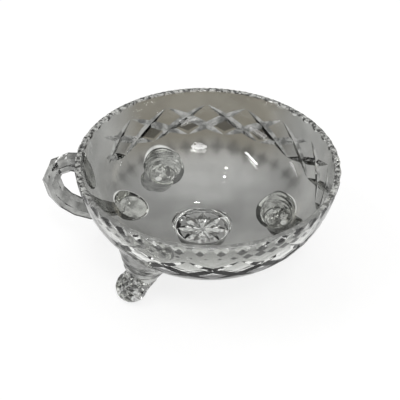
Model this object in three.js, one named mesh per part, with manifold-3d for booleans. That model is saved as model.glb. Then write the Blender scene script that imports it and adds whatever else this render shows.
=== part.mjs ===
// Footed crystal bowl: a round bowl of cut crystal on three applied glass feet, with one applied loop handle.
// Millimetres, +Z up. The table is at z = 0 and the origin is the middle of the footprint.
// Hot glass welds the feet and the handle to the bowl, so each one ends in a face shaped to the wall.

import * as THREE from 'three';
import { mergeVertices } from 'three/addons/utils/BufferGeometryUtils.js';
import Module from 'manifold-3d';

const manifold = await Module();
manifold.setup();

// Bowl body
const rimRadius = 80;
const rimHeight = 77.6;
const rimThickness = 3.8;
const rimRounding = 1.2;
const bodyDepth = 56.8;
const floorThickness = 5.5;
const wallBelly = 75;
const wallDrop = 50;
const floorReach = 44;
const innerPull = 2;
const bowlSegments = 72;
const wallEnd = 8;
const outerRows = 11;
const innerRows = 7;

// Raised pad under the middle of the floor, with its cut star
const padRadius = 16.4;
const padDrop = 10;
const padChamfer = 1.6;
const padSweep = 5;
const padRoot = 2.5;
const padRight = -2.6;
const padBack = -0.9;
const padStarRays = 8;
const broadRayStart = 0.8;
const broadRayReach = 17;
const broadRayDepth = 2;
const thinRayStart = 2;
const thinRayReach = 14;
const thinRayDepth = 0.9;

// Lattice of mitre cuts round the outside of the wall
const latticeTop = 11.9;
const latticeBottom = 32.2;
const latticeBow = 0.36;
const latticePitch = 20.95;
const latticeSpan = 1.5 * latticePitch;
const latticeTip = 91.5;
const latticeFrom = -134;
const latticeTo = 158;
const latticeLeast = 0.3;
const latticeDepth = 1.8;
const latticeStations = 7;
const mitreHalfAngle = 60;
const cutterLift = 0.6;

// Scallops hollowed out of the wall just under the rim
const scallopCount = 45;
const scallopHalfWidth = 5.2;
const scallopDrop = 7.2;
const scallopDepth = 0.9;

// Handle: a bar of panel-cut glass by its centre line: out past the rim, down from it, aside of its plane
const handleAngle = 179;
const handleStations = [
  { out: -6, down: 9.2, aside: 0, thick: 11, wide: 15 },
  { out: 4.8, down: 8.2, aside: 0, thick: 10, wide: 13 },
  { out: 13.4, down: 12.4, aside: 0, thick: 10, wide: 12.4 },
  { out: 17.7, down: 21.4, aside: 0, thick: 10, wide: 12.4 },
  { out: 15.8, down: 31.4, aside: 0, thick: 10.2, wide: 12.4 },
  { out: 10.8, down: 38.8, aside: 0, thick: 11, wide: 12.4 },
  { out: 3.2, down: 44, aside: 0, thick: 12, wide: 12.4 },
  { out: -6.4, down: 48, aside: 0.8, thick: 11.6, wide: 12 },
  { out: -15, down: 50.4, aside: 2.6, thick: 10, wide: 11.4 },
  { out: -23, down: 51.2, aside: 4.8, thick: 8, wide: 12 },
];
const handleCorner = 3.4;
const tailRadius = 11.4;
const tailThickness = 4.6;
const tailOut = -29.6;
const tailDown = 52;
const tailAside = 6.4;
const sealDown = 17.6;
const sealHalfHeight = 11.4;
const sealHalfWidth = 8.4;
const sealThickness = 3;

// Feet: a cone spread on the wall, nipped to a collar, and a leaning toe with a ball end that carries a star
const ballRadius = 9.9;
const footFlat = 0.4;
const waistRadius = 9.7;
const kneeRadius = 9.6;
const collarRadius = 10.4;
const collarHeight = 15.6;
const collarEdge = 0.9;
const coneReach = 1.5;
const coneTop = 45;
const footSegments = 20;
const coneSegments = 28;
const footStarRays = 10;
const footStarDepth = 2.1;
const footStarHeight = 36;
const footStarTurn = 78;
// How far in from the rim the root, the collar and the ball stand, and the root's half width and half depth
const feet = [
  {
    name: 'foot_right', angle: 8.6, facing: 8.6,
    rootIn: 33, collarIn: 29.5, ballIn: 20, wide: 16.6, deep: 12.6,
  },
  {
    name: 'foot_back_left', angle: 123.7, facing: 123.7,
    rootIn: 24.2, collarIn: 18.5, ballIn: 8.8, wide: 14.2, deep: 12.4,
  },
  {
    name: 'foot_front_left', angle: 224.8, facing: 247,
    rootIn: 29.4, collarIn: 26.6, ballIn: 16.8, wide: 17.4, deep: 14.2,
  },
];

// Gap left at each weld, so that neighbouring solids only meet
const weldGap = 0.3;

const up = new THREE.Vector3(0, 0, 1);
const radians = THREE.MathUtils.degToRad;

// Direction in plan at an angle counted from +X
function outward(angle) {
  return new THREE.Vector3(Math.cos(radians(angle)), Math.sin(radians(angle)), 0);
}

// Closed geometry to solid: only positions are kept, and shared corners are merged
function solidOf(geometry) {
  const bare = geometry.clone();
  bare.deleteAttribute('normal');
  bare.deleteAttribute('uv');
  const merged = mergeVertices(bare, 1e-4);
  return new manifold.Manifold(new manifold.Mesh({
    numProp: 3,
    vertProperties: new Float32Array(merged.attributes.position.array),
    triVerts: new Uint32Array(merged.index.array),
  }));
}

// Solid back to geometry
function geometryOf(solid) {
  const mesh = solid.getMesh();
  const geometry = new THREE.BufferGeometry();
  geometry.setAttribute('position', new THREE.BufferAttribute(mesh.vertProperties, 3));
  geometry.setIndex(new THREE.BufferAttribute(mesh.triVerts, 1));
  geometry.computeVertexNormals();
  return geometry;
}

// Profile of [radius, height] pairs, listed from the bottom up on the outside, turned about the Z axis
function turned(profile, segments) {
  const points = profile.map(([radius, height]) => new THREE.Vector2(radius, height));
  return new THREE.LatheGeometry(points, segments).rotateX(Math.PI / 2);
}

// Wall curve from the rim to the axis: it leaves the rim leaning in a little and reaches the axis level
function wallCurve(radius, belly, drop, reach, depth) {
  return new THREE.CubicBezierCurve(
    new THREE.Vector2(radius, rimHeight),
    new THREE.Vector2(belly, rimHeight - drop),
    new THREE.Vector2(reach, rimHeight - depth),
    new THREE.Vector2(0, rimHeight - depth),
  );
}

const outerCurve = wallCurve(rimRadius, wallBelly, wallDrop, floorReach, bodyDepth);
const innerCurve = wallCurve(
  rimRadius - rimThickness,
  wallBelly - rimThickness,
  wallDrop - floorThickness * 0.6,
  floorReach - innerPull,
  bodyDepth - floorThickness,
);

// Share of a wall curve at which a test of its point first holds, found by halving
function shareWhere(curve, holds) {
  let low = 0;
  let high = 1;
  for (let step = 0; step < 30; step += 1) {
    const middleShare = (low + high) / 2;
    if (holds(curve.getPoint(middleShare))) high = middleShare;
    else low = middleShare;
  }
  return high;
}

// Point of the outer wall at a share of its curve, with its outward normal, as [out, up] pairs
function wallStation(share) {
  const point = outerCurve.getPoint(share);
  const along = outerCurve.getTangent(share);
  return { point, normal: new THREE.Vector2(-along.y, along.x) };
}

// Outer wall of the bowl grown by a gap, from near the axis up to the rim
function outerWallProfile(gap) {
  const start = shareWhere(outerCurve, (point) => point.y < rimHeight - rimRounding);
  const end = shareWhere(outerCurve, (point) => point.x < wallEnd);
  const profile = [];
  for (let row = outerRows; row >= 0; row -= 1) {
    const { point, normal } = wallStation(start + (end - start) * (row / outerRows));
    profile.push([point.x + gap * normal.x, point.y + gap * normal.y]);
  }
  return profile;
}

// Full section of the bowl, from the middle of its underside round over the rim to the middle of the floor
function bowlProfile() {
  const rimCut = rimRounding * 0.3;
  const wall = outerWallProfile(0);
  const profile = [
    [0, wall[0][1]],
    ...wall,
    [rimRadius - rimCut, rimHeight - rimCut],
    [rimRadius - rimRounding, rimHeight],
    [rimRadius - rimThickness + rimRounding, rimHeight],
    [rimRadius - rimThickness + rimCut, rimHeight - rimCut],
  ];
  const start = shareWhere(innerCurve, (point) => point.y < rimHeight - rimRounding);
  for (let row = 0; row < innerRows; row += 1) {
    const point = innerCurve.getPoint(start + (1 - start) * (row / innerRows));
    profile.push([point.x, point.y]);
  }
  profile.push([0, rimHeight - bodyDepth + floorThickness]);
  return profile;
}

// Pad under the floor: a flat face with a cut edge, and a side that sweeps out into the underside
function makePad() {
  const bottom = rimHeight - bodyDepth - padDrop;
  const top = rimHeight - bodyDepth + padRoot;
  const profile = [[0, bottom], [padRadius - padChamfer, bottom], [padRadius, bottom + padChamfer]];
  for (const rise of [0.35, 0.6, 0.8, 1]) {
    const height = bottom + padChamfer + (top - bottom - padChamfer) * rise;
    profile.push([padRadius + padSweep * rise ** 2.2, height]);
  }
  profile.push([0, top]);
  return solidOf(turned(profile, 40).translate(padRight, padBack, 0));
}

// Point and outward normal of the outer wall at an angle and a depth under the rim
function onWall(angle, depth) {
  const share = shareWhere(outerCurve, (point) => point.y < rimHeight - depth);
  const station = wallStation(share);
  return {
    point: outward(angle).multiplyScalar(station.point.x).setZ(station.point.y),
    normal: outward(angle).multiplyScalar(station.normal.x).setZ(station.normal.y),
  };
}

// Wheel with a V edge, rolled along the stations: a long wedge whose edge lies at each station's depth
function mitreCutter(stations) {
  const spread = Math.tan(radians(mitreHalfAngle));
  const positions = [];
  const index = [];
  stations.forEach(({ point, normal, side, depth }, i) => {
    const halfWidth = (depth + cutterLift) * spread;
    const edge = point.clone().addScaledVector(normal, -depth);
    const top = point.clone().addScaledVector(normal, cutterLift);
    positions.push(...edge);
    positions.push(...top.clone().addScaledVector(side, halfWidth));
    positions.push(...top.clone().addScaledVector(side, -halfWidth));
    if (i === 0) return;
    const now = 3 * i;
    const before = now - 3;
    for (const [a, b] of [[0, 1], [1, 2], [2, 0]]) {
      index.push(before + a, before + b, now + b);
      index.push(before + a, now + b, now + a);
    }
  });
  const last = 3 * (stations.length - 1);
  index.push(0, 2, 1);
  index.push(last, last + 1, last + 2);
  const geometry = new THREE.BufferGeometry();
  geometry.setAttribute('position', new THREE.Float32BufferAttribute(positions, 3));
  geometry.setIndex(index);
  return solidOf(geometry);
}

// Depth along a lens-shaped cut: none at both tips, full in the middle
function lensDepth(share, deepest) {
  return deepest * (1 - (2 * share - 1) ** 2) - 0.05;
}

// One slanting cut of the lattice, on the way from its top tip down the wall to one side
function latticeCut(tipAngle, hand, first, last) {
  const stations = [];
  const placeAt = (share) => {
    const fall = share + latticeBow * share * (1 - share);
    return onWall(tipAngle + hand * latticeSpan * share, latticeTop + (latticeBottom - latticeTop) * fall);
  };
  for (let i = 0; i < latticeStations; i += 1) {
    const part = i / (latticeStations - 1);
    const share = first + (last - first) * part;
    const { point, normal } = placeAt(share);
    const ahead = placeAt(share + 0.01).point.sub(point).normalize();
    const side = new THREE.Vector3().crossVectors(normal, ahead).normalize();
    stations.push({ point, normal, side, depth: lensDepth(part, latticeDepth) });
  }
  return mitreCutter(stations);
}

// All cuts of the lattice. It stops short of the plain wall on each side of the handle
function latticeCuts() {
  const cuts = [];
  const below = Math.ceil((latticeTip - latticeFrom) / latticePitch) + 1;
  const above = Math.ceil((latticeTo - latticeTip) / latticePitch);
  for (let step = -below; step <= above; step += 1) {
    const tip = latticeTip + step * latticePitch;
    for (const hand of [-1, 1]) {
      const limits = [latticeFrom, latticeTo].map((limit) => (hand * (limit - tip)) / latticeSpan);
      const first = Math.max(0, Math.min(...limits));
      const last = Math.min(1, Math.max(...limits));
      if (last - first > latticeLeast) cuts.push(latticeCut(tip, hand, first, last));
    }
  }
  return cuts;
}

// Shallow dish hollowed out of the wall under the rim
function scallopCutter(angle) {
  const { point, normal } = onWall(angle, 0);
  const dish = turned([
    [0, -scallopDepth],
    [0.6, -0.64 * scallopDepth],
    [1.2, 0.44 * scallopDepth],
    [0, 0.6 * scallopDepth],
  ], 8);
  const across = new THREE.Vector3().crossVectors(up, normal);
  const frame = new THREE.Matrix4().makeBasis(
    across.multiplyScalar(scallopHalfWidth),
    up.clone().multiplyScalar(scallopDrop),
    normal,
  );
  return solidOf(dish.applyMatrix4(frame.setPosition(point)));
}

// One ray of a star, cut into a flat face from near its centre out to its edge
function starRay(centre, normal, along, start, reach, deepest) {
  const side = new THREE.Vector3().crossVectors(normal, along);
  const stations = [0, 0.25, 0.5, 0.75, 1].map((share) => ({
    point: centre.clone().addScaledVector(along, start + (reach - start) * share),
    normal,
    side,
    depth: lensDepth(share, deepest),
  }));
  return mitreCutter(stations);
}

// Star of evenly turned rays. The first one may be turned away by a share of a step
function starCuts(centre, normal, upward, rays, start, reach, deepest, turn = 0) {
  const cuts = [];
  for (let ray = 0; ray < rays; ray += 1) {
    const along = upward.clone().applyAxisAngle(normal, (2 * Math.PI * (ray + turn)) / rays);
    cuts.push(starRay(centre, normal, along, start, reach, deepest));
  }
  return cuts;
}

function subtractAll(solid, cutters) {
  return cutters.reduce((left, cutter) => left.subtract(cutter), solid);
}

function makeBowl() {
  const body = solidOf(turned(bowlProfile(), bowlSegments)).add(makePad());
  const scallops = [];
  for (let i = 0; i < scallopCount; i += 1) scallops.push(scallopCutter((360 * (i + 0.5)) / scallopCount));
  const centre = new THREE.Vector3(padRight, padBack, rimHeight - bodyDepth - padDrop);
  const down = new THREE.Vector3(0, 0, -1);
  const back = outward(90);
  const broad = starCuts(centre, down, back, padStarRays, broadRayStart, broadRayReach, broadRayDepth);
  const thin = starCuts(centre, down, back, padStarRays, thinRayStart, thinRayReach, thinRayDepth, 0.5);
  return subtractAll(body, [...latticeCuts(), ...scallops, ...broad, ...thin]);
}

// The bowl as its neighbours see it: filled, without its pad, and grown by the weld gap
function bowlSeat() {
  const wall = outerWallProfile(weldGap);
  return solidOf(turned([[0, wall[0][1]], ...wall, [0, rimHeight]], bowlSegments));
}

// Eight corners of the handle's section: a bar with its four long edges cut away
function barSection(thick, wide) {
  const t = thick / 2;
  const w = wide / 2;
  const corner = handleCorner;
  return [
    [t, w - corner], [t - corner, w], [corner - t, w], [-t, w - corner],
    [-t, corner - w], [corner - t, -w], [t - corner, -w], [t, corner - w],
  ];
}

// Handle of flat panels from station to station, with an oval seal and a round pad at its ends
function makeHandle(seat) {
  const out = outward(handleAngle);
  const across = new THREE.Vector3().crossVectors(out, up);
  const place = ({ out: reach, down, aside }) => {
    const middle = out.clone().multiplyScalar(rimRadius + reach).setZ(rimHeight - down);
    return middle.addScaledVector(across, aside);
  };
  const positions = [];
  const index = [];
  const sides = 8;
  handleStations.forEach((station, i) => {
    const before = place(handleStations[Math.max(i - 1, 0)]);
    const after = place(handleStations[Math.min(i + 1, handleStations.length - 1)]);
    const ahead = after.sub(before).normalize();
    const outer = new THREE.Vector3().crossVectors(across, ahead);
    for (const [t, w] of barSection(station.thick, station.wide)) {
      positions.push(...place(station).addScaledVector(outer, t).addScaledVector(across, w));
    }
    if (i === 0) return;
    for (let side = 0; side < sides; side += 1) {
      const a = (i - 1) * sides + side;
      const b = (i - 1) * sides + ((side + 1) % sides);
      index.push(a, b, b + sides);
      index.push(a, b + sides, a + sides);
    }
  });
  const last = (handleStations.length - 1) * sides;
  for (let side = 1; side < sides - 1; side += 1) {
    index.push(0, side + 1, side);
    index.push(last, last + side, last + side + 1);
  }
  const bar = new THREE.BufferGeometry();
  bar.setAttribute('position', new THREE.Float32BufferAttribute(positions, 3));
  bar.setIndex(index);
  const padTop = tailThickness * 2;
  const pad = turned([
    [0, -tailThickness / 2],
    [tailRadius - 2.4, -tailThickness / 2],
    [tailRadius, 0],
    [tailRadius, padTop],
    [0, padTop],
  ], 24);
  pad.translate(...place({ out: tailOut, down: tailDown, aside: tailAside }));
  const weld = onWall(handleAngle, sealDown);
  const upward = new THREE.Vector3().crossVectors(weld.normal, across).normalize();
  const seal = new THREE.SphereGeometry(1, 16, 8);
  seal.applyMatrix4(new THREE.Matrix4().makeBasis(
    across.clone().multiplyScalar(sealHalfWidth),
    upward.multiplyScalar(-sealHalfHeight),
    weld.normal.clone().multiplyScalar(-sealThickness),
  ).setPosition(weld.point));
  return solidOf(bar).add(solidOf(pad)).add(solidOf(seal)).subtract(seat);
}

// Star on a ball: each ray runs over it along a circle, from the middle of its face outwards
function ballStarCuts(ball, facing) {
  const across = new THREE.Vector3().crossVectors(up, facing).normalize();
  const upward = new THREE.Vector3().crossVectors(facing, across);
  const cuts = [];
  for (let ray = 0; ray < footStarRays; ray += 1) {
    const along = upward.clone().applyAxisAngle(facing, (2 * Math.PI * ray) / footStarRays);
    const side = new THREE.Vector3().crossVectors(facing, along);
    cuts.push(mitreCutter([0, 0.15, 0.35, 0.5, 0.65, 0.85, 1].map((share) => {
      const turn = radians(1.5 + (footStarTurn - 1.5) * share);
      const normal = facing.clone().multiplyScalar(Math.cos(turn)).addScaledVector(along, Math.sin(turn));
      const point = ball.clone().addScaledVector(normal, ballRadius);
      return { point, normal, side, depth: lensDepth(share, footStarDepth) };
    })));
  }
  return cuts;
}

// Toe of a foot, from its ball end through the waist to the knee, along the line from ball to collar
function makeToe(ball, collar) {
  const axis = collar.clone().sub(ball);
  const length = axis.length();
  const profile = [];
  const ballEnd = 20;
  for (let row = 0; row <= 7; row += 1) {
    const turn = radians(-90 + ((90 + ballEnd) * row) / 7);
    profile.push([ballRadius * Math.cos(turn), ballRadius * Math.sin(turn)]);
  }
  const [startRadius, startHeight] = profile[7];
  for (const share of [0.2, 0.4, 0.6, 0.8, 1]) {
    const nip = (ballRadius - waistRadius) * 0.6 * Math.sin(Math.PI * share);
    profile.push([
      startRadius + (kneeRadius - startRadius) * share - nip,
      startHeight + (length - startHeight) * share,
    ]);
  }
  profile.push([0, length]);
  const toe = turned(profile, footSegments);
  toe.applyQuaternion(new THREE.Quaternion().setFromUnitVectors(up, axis.normalize()));
  const knee = new THREE.SphereGeometry(kneeRadius, footSegments, 10).translate(...collar);
  return solidOf(toe.translate(...ball)).add(solidOf(knee));
}

// Cone of a foot: round at the collar, oval at the root, and leaning from one to the other
function makeCone(collar, out, { rootIn, collarIn, wide, deep }) {
  const rootOut = rimRadius - rootIn;
  const rise = outerCurve.getPoint(shareWhere(outerCurve, (point) => point.x < rootOut)).y - collarHeight;
  const spread = collarRadius + (wide - collarRadius) * coneReach;
  const cone = turned([
    [0, -collarEdge],
    [collarRadius - 1.2, -collarEdge],
    [collarRadius - 0.35, -0.6 * collarEdge],
    [collarRadius, 0],
    [spread, rise * coneReach],
    [spread, coneTop],
    [0, coneTop],
  ], coneSegments);
  const corners = cone.attributes.position;
  for (let i = 0; i < corners.count; i += 1) {
    const share = THREE.MathUtils.clamp(corners.getZ(i) / rise, 0, coneReach);
    const across = collarRadius + (wide - collarRadius) * share;
    const inward = collarRadius + (deep - collarRadius) * share;
    corners.setY(i, (corners.getY(i) * inward) / across);
  }
  const lean = up.clone().addScaledVector(out, (collarIn - rootIn) / rise);
  const around = new THREE.Vector3().crossVectors(up, out);
  const frame = new THREE.Matrix4().makeBasis(around, out.clone().negate(), lean);
  return solidOf(cone.applyMatrix4(frame.setPosition(collar)));
}

// Foot: toe and cone in one, fitted to the wall, standing on a small flat and starred on its ball
function makeFoot(sizes, seat) {
  const out = outward(sizes.angle);
  const ball = out.clone().multiplyScalar(rimRadius - sizes.ballIn).setZ(ballRadius - footFlat);
  const collar = out.clone().multiplyScalar(rimRadius - sizes.collarIn).setZ(collarHeight);
  const facing = outward(sizes.facing).multiplyScalar(Math.cos(radians(footStarHeight)));
  facing.setZ(Math.sin(radians(footStarHeight)));
  const below = new THREE.BoxGeometry(4 * ballRadius, 4 * ballRadius, ballRadius);
  below.translate(ball.x, ball.y, -ballRadius / 2);
  const foot = makeToe(ball, collar).add(makeCone(collar, out, sizes));
  return subtractAll(foot, [seat, solidOf(below), ...ballStarCuts(ball, facing)]);
}

function glass(colour) {
  return new THREE.MeshStandardMaterial({ color: colour, roughness: 0.04, metalness: 0 });
}

function addPiece(group, name, solid, colour) {
  const piece = new THREE.Mesh(geometryOf(solid), glass(colour));
  piece.name = name;
  group.add(piece);
}

const bowl = new THREE.Group();
const seat = bowlSeat();
addPiece(bowl, 'bowl', makeBowl(), 0xd9dcd8);
addPiece(bowl, 'handle', makeHandle(seat), 0xd4d6d2);
for (const foot of feet) {
  addPiece(bowl, foot.name, makeFoot(foot, seat), 0xd2d5d1);
}

// The handle reaches past the rim on one side, so the bowl's axis stands off the middle of the footprint
const extent = new THREE.Box3().setFromObject(bowl);
const middle = extent.getCenter(new THREE.Vector3());
bowl.position.set(-middle.x, -middle.y, -extent.min.z);

export default bowl;
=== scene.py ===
# %% [markdown]
# Footed crystal bowl
# A small round dish of cut crystal: a thick clear bowl with a lattice of mitre cuts, scallops under its rim
# and a star under its floor, set by hand on three leaning ball feet, with one loop handle for a finger.
# Each cell first says what the piece is on the real dish and how it could be made, and then makes it. Sizes
# are written in millimetres, as a glass cutter would note them, and turned into metres once.

# %% Frame
from math import radians

import bpy
import numpy as np
from mathutils import Matrix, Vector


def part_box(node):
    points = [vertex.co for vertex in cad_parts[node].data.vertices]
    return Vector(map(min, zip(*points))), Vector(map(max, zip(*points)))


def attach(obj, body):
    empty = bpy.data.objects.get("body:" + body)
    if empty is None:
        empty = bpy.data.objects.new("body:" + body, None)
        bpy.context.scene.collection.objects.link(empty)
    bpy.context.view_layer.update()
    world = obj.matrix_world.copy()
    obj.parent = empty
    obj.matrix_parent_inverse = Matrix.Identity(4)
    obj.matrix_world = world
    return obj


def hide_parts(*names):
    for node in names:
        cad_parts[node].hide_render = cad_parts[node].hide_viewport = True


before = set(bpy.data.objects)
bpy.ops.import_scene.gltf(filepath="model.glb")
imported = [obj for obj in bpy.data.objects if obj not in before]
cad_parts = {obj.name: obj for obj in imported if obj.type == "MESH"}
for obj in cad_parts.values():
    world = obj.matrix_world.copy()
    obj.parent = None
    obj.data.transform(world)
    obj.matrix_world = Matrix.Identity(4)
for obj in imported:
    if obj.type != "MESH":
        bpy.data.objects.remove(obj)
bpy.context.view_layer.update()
mm = 0.001
up = np.array([0, 0, 1.0])

# %% [markdown]
# Where the bowl stands
# The origin is the middle of the whole footprint, and the handle reaches out on one side only, so the
# bowl's own axis stands a little to the right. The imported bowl's box gives the axis, and its top is printed
# to compare with the rim's height.

# %% Axis
bowl_low, bowl_high = (np.array(corner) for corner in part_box("bowl"))
axis_x = float(bowl_low[0] + bowl_high[0]) / 2
bowl_axis = np.array([axis_x, 0, 0])
rim_radius = 79.9 * mm
rim_height = 77.6 * mm
print(f"axis at x {axis_x:.5f}, rim at {bowl_high[2]:.4f}")


def direction(degrees):
    """Cosine and sine of an angle in degrees."""
    return float(np.cos(radians(degrees))), float(np.sin(radians(degrees)))


# %% [markdown]
# Camera
# The photograph looks down into the dish from the front. A camera model fitted to the rim's ellipse gives
# the angle of view, the distance from the rim's centre, the height angle and a small tilt. The three rows
# of its rotation are worked out here and handed to Blender, whose camera looks down its own -Z.

# %% Camera
picture = 400
focal_pixels = 700
distance = 422.7 * mm
elevation = radians(36.77)
tilt = radians(1.59)
rim_centre_pixel = (208.0, 156.5)
sensor_width = 36


def camera_axes():
    """Rows are the camera's right, down and forward. First it looks straight at the rim's centre, then it
    tilts about its line of sight, and then it turns by the least turn that puts the centre on its own
    pixel."""
    back = np.array([0, -np.cos(elevation), np.sin(elevation)])
    right = np.array([1.0, 0, 0])
    down = np.cross(-back, right)
    cosine, sine = np.cos(tilt), np.sin(tilt)
    rows = np.array([cosine * right - sine * down, sine * right + cosine * down, -back])
    ray = np.array([*(np.array(rim_centre_pixel) - picture / 2) / focal_pixels, 1])
    ray = ray / np.linalg.norm(ray)
    turn = np.cross([0, 0, 1], ray)
    skew = np.array([[0, -turn[2], turn[1]], [turn[2], 0, -turn[0]], [-turn[1], turn[0], 0]])
    return (np.eye(3) + skew + skew @ skew / (1 + ray[2])) @ rows, back


def place_object(made, columns, spot):
    """Puts a camera or a lamp at a spot, turned so that its own three axes are the given columns."""
    matrix = np.eye(4)
    matrix[:3, :3] = np.column_stack(columns)
    matrix[:3, 3] = spot
    made.matrix_world = Matrix(matrix.tolist())


axes, backwards = camera_axes()
camera_place = bowl_axis + up * rim_height + backwards * distance
lens = bpy.data.cameras.new("camera")
camera = bpy.data.objects.new("camera", lens)
bpy.context.scene.collection.objects.link(camera)
lens.sensor_width = sensor_width
lens.lens = focal_pixels / picture * sensor_width
place_object(camera, [axes[0], -axes[1], -axes[2]], camera_place)
bpy.context.scene.camera = camera
print("camera at", camera_place.round(4), "lens", lens.lens)

# %% [markdown]
# Writing shader maths as Python
# A material is a graph of nodes. One small class wraps an output socket, so that an expression such as 1 -
# mask * 0.3 adds its Math nodes by itself, and one method makes every other kind of node.

# %% Sockets


class Socket:
    """An output socket with arithmetic. Numbers and other sockets may stand on either side."""

    def __init__(self, graph, link):
        self.graph, self.link = graph, link

    def calculate(self, operation, first, second):
        return self.graph.node("Math", {"operation": operation}, {0: first, 1: second})[0]

    def __add__(self, other):
        return self.calculate("ADD", self, other)

    def __sub__(self, other):
        return self.calculate("SUBTRACT", self, other)

    def __mul__(self, other):
        return self.calculate("MULTIPLY", self, other)

    def __rsub__(self, other):
        return self.calculate("SUBTRACT", other, self)

    __radd__ = __add__
    __rmul__ = __mul__


# %% Graphs
GENERATED, OBJECT = 0, 3


class Graph:
    """The node graph of one material or of the world."""

    def __init__(self, owner):
        owner.use_nodes = True
        self.tree = owner.node_tree
        self.tree.nodes.clear()

    def node(self, kind, settings=None, values=None):
        """Makes a node, sets its settings, then fills its sockets with values or links. Returns its
        outputs."""
        made = self.tree.nodes.new("ShaderNode" + kind)
        for name, value in (settings or {}).items():
            if name == "stops":
                ramp = made.color_ramp.elements
                while len(ramp) < len(value):
                    ramp.new(0.5)
                for stop, (place, colour) in zip(ramp, value):
                    stop.position, stop.color = place, (*colour, 1)
            else:
                setattr(made, name, value)
        for name, value in (values or {}).items():
            if isinstance(value, Socket):
                self.tree.links.new(value.link, made.inputs[name])
            else:
                made.inputs[name].default_value = value
        return [Socket(self, output) for output in made.outputs]

    def larger(self, first, second):
        """The larger one of two values."""
        return self.node("Math", {"operation": "MAXIMUM"}, {0: first, 1: second})[0]

    def noise(self, place, scale, detail, roughness=0.5):
        """Smooth random values round a half, with so many waves in a metre."""
        values = {"Vector": place, "Scale": scale, "Detail": detail, "Roughness": roughness}
        return self.node("TexNoise", None, values)[0]

    def fade(self, value, start, end):
        """Nought up to the start of a range, one from its end on, and a soft S between them."""
        values = {"Value": value, "From Min": start, "From Max": end}
        return self.node("MapRange", {"interpolation_type": "SMOOTHSTEP"}, values)[0]

    def blend(self, share, colour, other):
        """Turns a colour into another one by a share from nought to one."""
        return self.node("Mix", {"data_type": "RGBA"}, {0: share, 6: colour, 7: (*other, 1)})[2]

    def finish(self, shader, kind="OutputMaterial"):
        self.node(kind, None, {"Surface": shader})


# %% [markdown]
# Floor
# The dish is photographed on a plain pale ground. The camera sees the ground mostly as plain white, and so,
# to a smaller share, do the rays that the glass mirrors or lets through. The rest of it is a lit surface,
# which keeps the dish's shadow.

# %% Floor
floor_half = 4.0
camera_share, glass_share = 0.8, 0.6


def plane(name, half, height):
    """A square in the ground plane: the four corners at plus and minus half its side."""
    mesh = bpy.data.meshes.new(name)
    corners = np.array([[-1, -1], [1, -1], [1, 1], [-1, 1]]) * half
    mesh.from_pydata(np.column_stack([corners, np.full(4, height)]).tolist(), [], [[0, 1, 2, 3]])
    made = bpy.data.objects.new(name, mesh)
    bpy.context.scene.collection.objects.link(made)
    return made


floor = plane("floor", floor_half, 0.0)
paint = bpy.data.materials.new("pale ground")
graph = Graph(paint)
mottle = graph.noise(graph.node("TexCoord")[OBJECT], scale=3.0, detail=3.0)
stops = [(0.3, (0.86, 0.86, 0.855)), (0.7, (0.88, 0.88, 0.875))]
pale = graph.node("ValToRGB", {"stops": stops}, {"Fac": mottle})[0]
lit = graph.node("BsdfPrincipled", None, {"Base Color": pale, "Roughness": 0.75})[0]
white = graph.node("Emission", None, {"Color": (1, 1, 1, 1), "Strength": 1.0})[0]
rays = graph.node("LightPath")
camera_ray, glossy_ray, transmission_ray = rays[0], rays[3], rays[6]
seen = graph.larger(camera_ray * camera_share, graph.larger(glossy_ray, transmission_ray) * glass_share)
graph.finish(graph.node("MixShader", None, {0: seen, 1: lit, 2: white})[0])
floor.data.materials.append(paint)
print("floor", 2 * floor_half, "m wide, white shares: camera", camera_share, "glass", glass_share)

# %% [markdown]
# Room
# Clear glass has next to no colour of its own: it shows the floor bent through its walls, and its edges
# turn dark where they look towards a darker room. So the world is a dim warm grey at the height of the dish
# and bright overhead, where it lights the floor. The stops of the ramp go from straight down to straight
# up.

# %% World
world = bpy.data.worlds.new("room")
bpy.context.scene.world = world
graph = Graph(world)
towards = graph.node("SeparateXYZ", None, {"Vector": graph.node("TexCoord")[GENERATED]})[2]
stops = [
    (0.0, (0.34, 0.33, 0.31)), (0.30, (0.36, 0.35, 0.33)), (0.66, (0.42, 0.42, 0.41)),
    (0.80, (1.10, 1.10, 1.09)), (1.0, (1.75, 1.75, 1.74)),
]
sky = graph.node("ValToRGB", {"stops": stops}, {"Fac": towards})[0]
graph.finish(graph.node("Background", None, {"Color": sky, "Strength": 1.0})[0], "OutputWorld")
bpy.context.scene.view_settings.view_transform = "Standard"
print("room with", len(stops), "stops from the ground to overhead")

# %% [markdown]
# Lamps
# The glints on polished glass are small pictures of lamps. A soft lamp with a second one under it in front,
# a strip at the side, two spots and one small lamp behind leave their marks on the floor of the dish, and
# six dim windows round the table light the cut edges. Each lamp faces the dish from the same distance.

# %% Lamps
lamp_aim = bowl_axis + up * 40 * mm
lamp_distance = 1.5
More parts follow.
